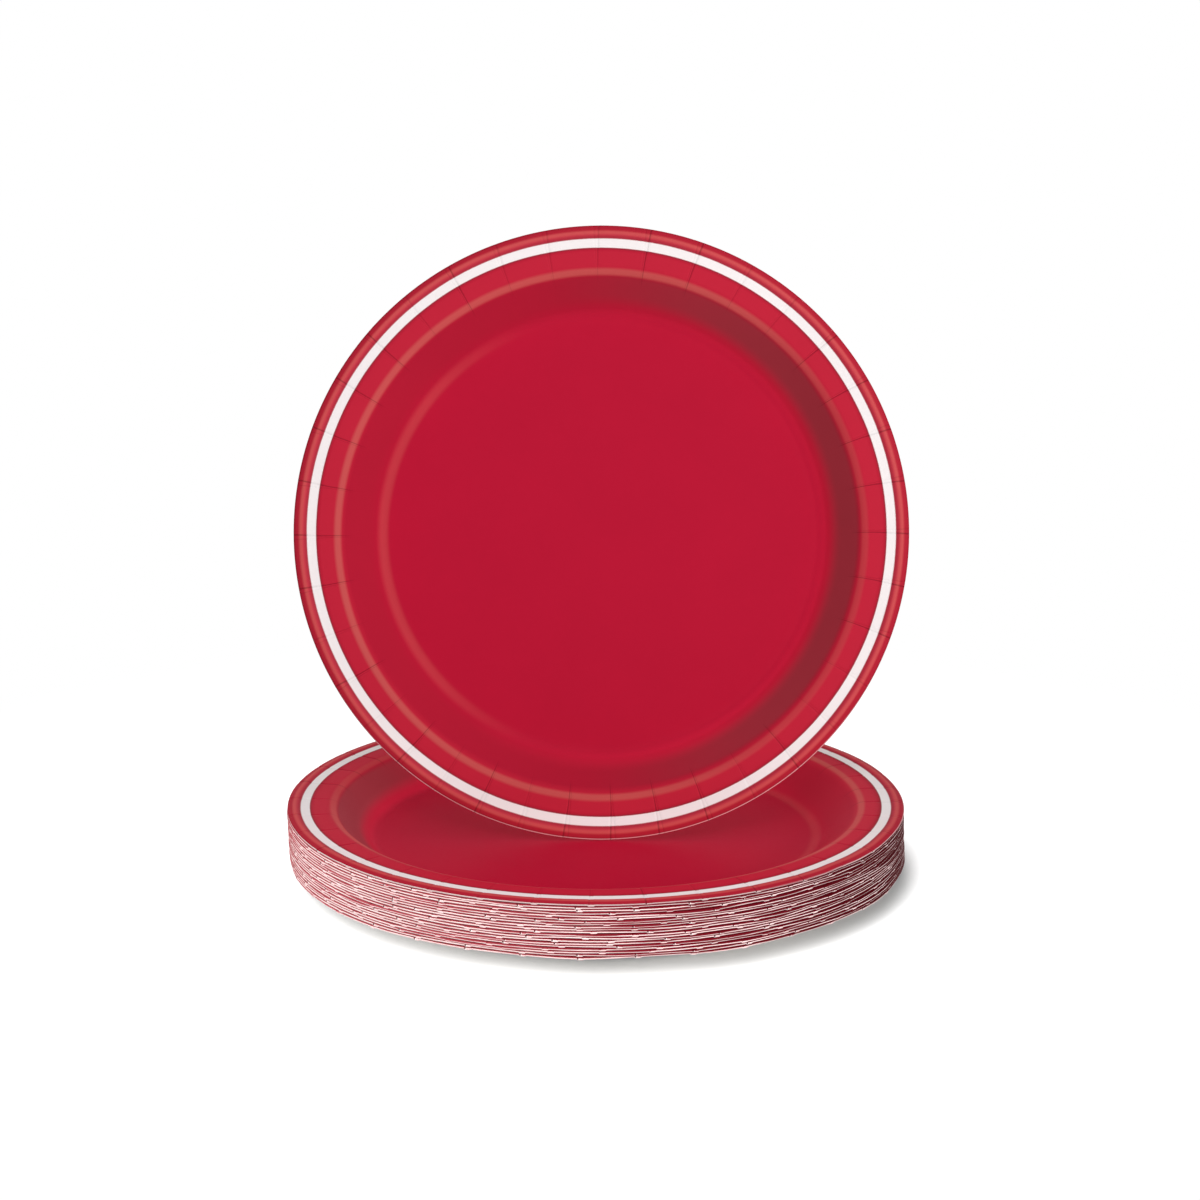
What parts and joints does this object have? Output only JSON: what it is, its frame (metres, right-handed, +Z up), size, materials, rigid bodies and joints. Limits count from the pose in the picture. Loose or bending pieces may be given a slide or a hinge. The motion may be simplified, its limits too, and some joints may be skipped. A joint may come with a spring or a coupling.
{
  "type": "stack of paper plates",
  "caption": "Nested stack of round pressed paper plates with pleated rims and rolled lips, and one more such plate stood upright in the top one.",
  "frame": {"origin": "under the middle of the stack, on the surface that it stands on", "axes": "+Z up, -Y towards the front of the standing plate, +X to its right as seen from the front"},
  "size_m": [0.2242, 0.2222, 0.2306],
  "materials": {
    "printed_board": "satin print on one side, bare board on the other"
  },
  "bodies": {
    "root": {"plate_01": "printed_board", "plate_02": "printed_board", "plate_03": "printed_board", "plate_04": "printed_board", "plate_05": "printed_board", "plate_06": "printed_board", "plate_07": "printed_board", "plate_08": "printed_board", "plate_09": "printed_board", "plate_10": "printed_board", "plate_11": "printed_board", "plate_12": "printed_board", "plate_13": "printed_board", "plate_14": "printed_board", "plate_15": "printed_board", "plate_16": "printed_board", "plate_17": "printed_board", "plate_18": "printed_board", "plate_19": "printed_board", "plate_20": "printed_board", "standing_plate": "printed_board"}
  },
  "joints": []
}
